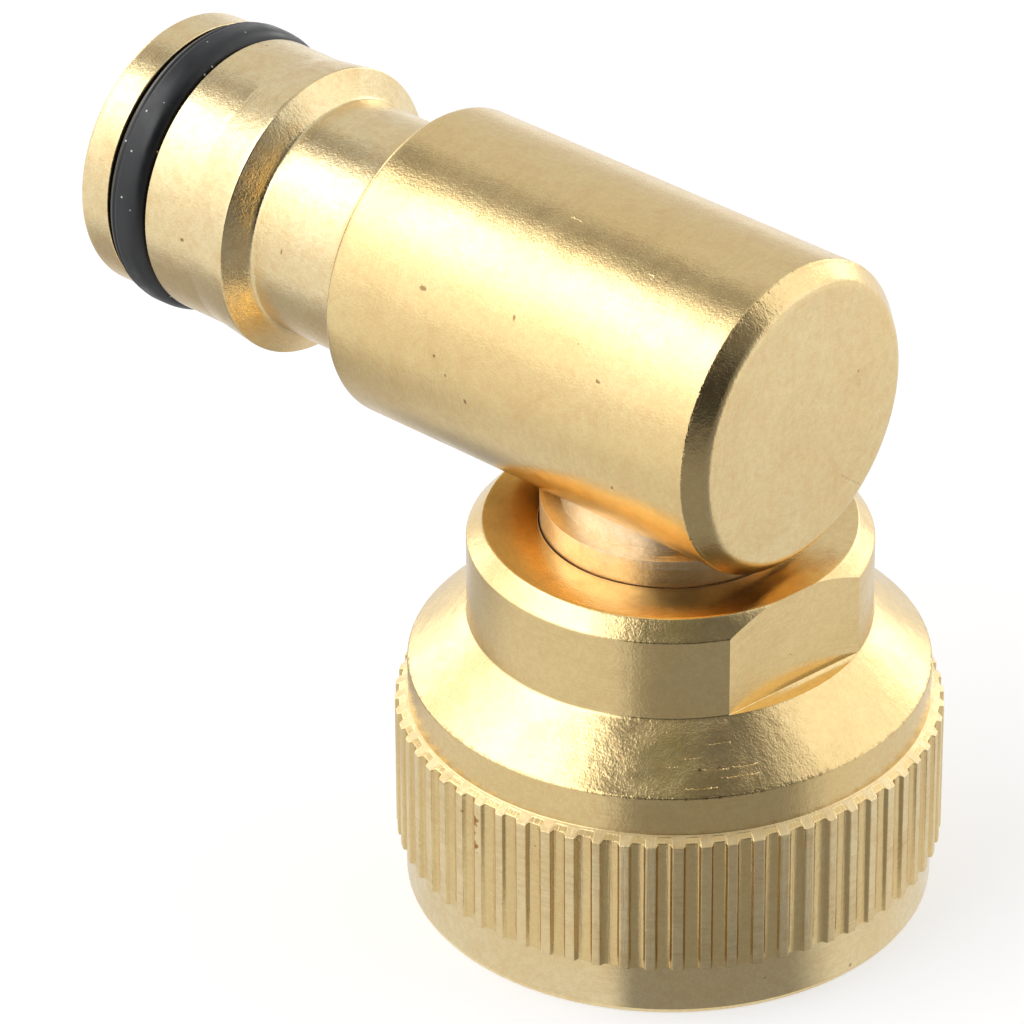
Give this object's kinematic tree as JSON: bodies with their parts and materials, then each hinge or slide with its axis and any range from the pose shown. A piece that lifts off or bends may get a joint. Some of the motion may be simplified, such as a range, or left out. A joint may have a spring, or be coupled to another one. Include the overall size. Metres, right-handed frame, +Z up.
{
  "type": "swivel elbow hose connector",
  "caption": "Turned brass elbow with a quick-connect nipple and O-ring, turning on a knurled threaded coupling nut with wrench flats.",
  "frame": {"origin": "centre of the coupling nut's threaded mouth, at its lower rim", "axes": "+Z up along the nut's axis, which is the swivel's axis, from the threaded mouth to the elbow; the nipple points along -X and the barrel's closed end along +X"},
  "size_m": [0.0512, 0.03, 0.0408],
  "materials": {
    "elbow_brass": "satin turned brass",
    "nut_brass": "satin turned and knurled brass",
    "stem_brass": "finely turned brass",
    "seal_rubber": "moulded black rubber",
    "washer_rubber": "flat black rubber",
    "slip_plastic": "natural white acetal"
  },
  "bodies": {
    "nut": {"coupling_nut": "nut_brass", "sealing_washer": "washer_rubber"},
    "elbow": {"elbow_body": "elbow_brass", "nipple_o_ring": "seal_rubber", "swivel_stem": "stem_brass", "stem_o_ring_upper": "seal_rubber", "stem_o_ring_lower": "seal_rubber", "slip_washer": "slip_plastic"}
  },
  "joints": [
    {"name": "swivel", "type": "hinge", "parent": "nut", "child": "elbow", "pos_m": [0, 0, 0.02], "axis": [0, 0, 1], "continuous": true}
  ]
}
